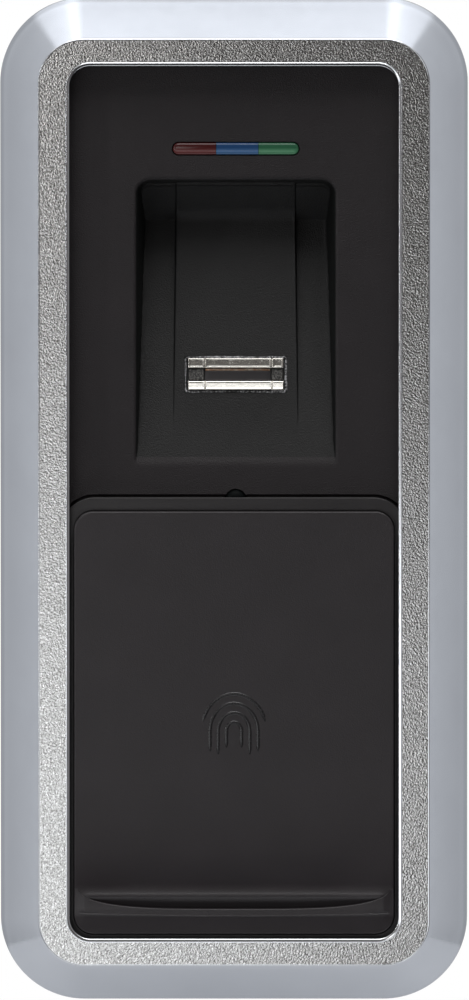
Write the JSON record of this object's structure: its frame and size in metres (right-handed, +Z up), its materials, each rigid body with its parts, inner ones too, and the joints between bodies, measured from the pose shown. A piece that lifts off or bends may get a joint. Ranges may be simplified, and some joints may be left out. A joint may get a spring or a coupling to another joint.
{
  "type": "fingerprint scanner terminal",
  "caption": "Wall-mounted fingerprint terminal: bright bezel, black panel with light bar and finger groove with swipe sensor, and a cover that slides up over them on a spring detent.",
  "frame": {"origin": "centre of the wall plate's back face, in the plane of the wall", "axes": "+X to the right seen from the front, +Y into the wall, +Z up"},
  "size_m": [0.068, 0.034, 0.146],
  "materials": {
    "bezel_chrome": "satin bright plating, grained flat band",
    "panel_black": "fine spark-eroded grain",
    "slide_black": "smooth satin",
    "case_black": "fine grain",
    "gasket_rubber": "matt",
    "lens_red": "translucent, unlit",
    "lens_blue": "translucent, unlit",
    "lens_green": "translucent, unlit",
    "led_white": "moulded",
    "sensor_metal": "polished contact bar",
    "sensor_copper": "bare trace",
    "sensor_silicon": "coated chip",
    "sensor_potting": "rough resin",
    "flex_amber": "polyimide film",
    "board_green": "solder mask",
    "component_black": "moulded",
    "steel": "plated",
    "nickel": "plated",
    "battery_jacket": "printed-free jacket"
  },
  "bodies": {
    "case": {"wall_plate": "case_black", "rear_housing": "case_black", "housing_gasket": "gasket_rubber", "bezel_frame": "bezel_chrome", "front_panel": "panel_black", "light_lens_red": "lens_red", "light_lens_blue": "lens_blue", "light_lens_green": "lens_green", "led_red": "led_white", "led_blue": "led_white", "led_green": "led_white", "sensor_body": "component_black", "sensor_bar_top": "sensor_metal", "sensor_bar_bottom": "sensor_metal", "sensor_contact_line": "sensor_copper", "sensor_strip": "sensor_silicon", "sensor_end_left": "sensor_potting", "sensor_end_right": "sensor_potting", "sensor_flex_cable": "flex_amber", "flex_connector": "component_black", "pcb_main": "board_green", "mcu_chip": "component_black", "radio_module": "steel", "buzzer": "component_black", "pcb_screw_1": "steel", "battery_1": "battery_jacket", "battery_spring_1": "steel", "battery_contact_1": "nickel", "case_screw_1": "steel", "pcb_screw_2": "steel", "battery_2": "battery_jacket", "battery_spring_2": "steel", "battery_contact_2": "nickel", "case_screw_2": "steel", "pcb_screw_3": "steel", "battery_3": "battery_jacket", "battery_spring_3": "steel", "battery_contact_3": "nickel", "case_screw_3": "steel", "pcb_screw_4": "steel", "battery_4": "battery_jacket", "battery_spring_4": "steel", "battery_contact_4": "nickel", "case_screw_4": "steel", "battery_door": "case_black", "battery_door_screw": "steel", "fixing_screw": "steel", "detent_cap": "case_black"},
    "slide": {"slide_carrier": "slide_black", "slide_cover": "slide_black"},
    "detent": {"detent_plunger": "case_black", "detent_spring": "steel"}
  },
  "joints": [
    {"name": "cover_slide", "type": "slide", "parent": "case", "child": "slide", "axis": [0, 0, 1], "range_m": [0, 0.0641]},
    {"name": "detent_press", "type": "slide", "parent": "case", "child": "detent", "axis": [0, 1, 0], "range_m": [0, 0.0008], "stiffness_N_per_m": 800, "springref_m": -0.0012, "deforming": ["detent_spring"]}
  ]
}
